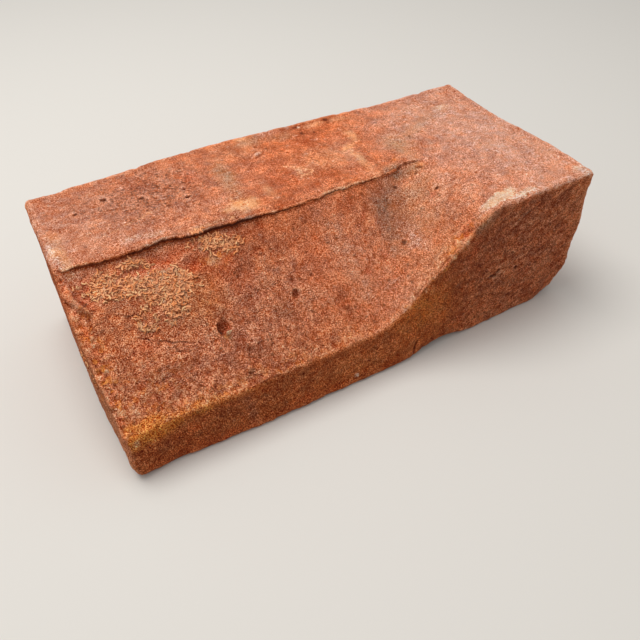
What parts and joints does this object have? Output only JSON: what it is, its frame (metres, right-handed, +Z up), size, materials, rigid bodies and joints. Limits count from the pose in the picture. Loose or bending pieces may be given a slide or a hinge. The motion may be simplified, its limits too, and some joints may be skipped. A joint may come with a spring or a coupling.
{
  "type": "stopped plinth brick",
  "caption": "Handmade red clay brick whose front top edge is cut back as a splay that a rising stop ends, leaving one end at full square section.",
  "frame": {"origin": "centre of the lower bed, which the brick lies on", "axes": "+X along the length towards the full square end, +Y from the splayed face towards the back face, +Z up"},
  "size_m": [0.215, 0.1024, 0.065],
  "materials": {
    "fired_clay": "matt, sand-faced fired red clay"
  },
  "bodies": {
    "root": {"clay_brick": "fired_clay"}
  },
  "joints": []
}
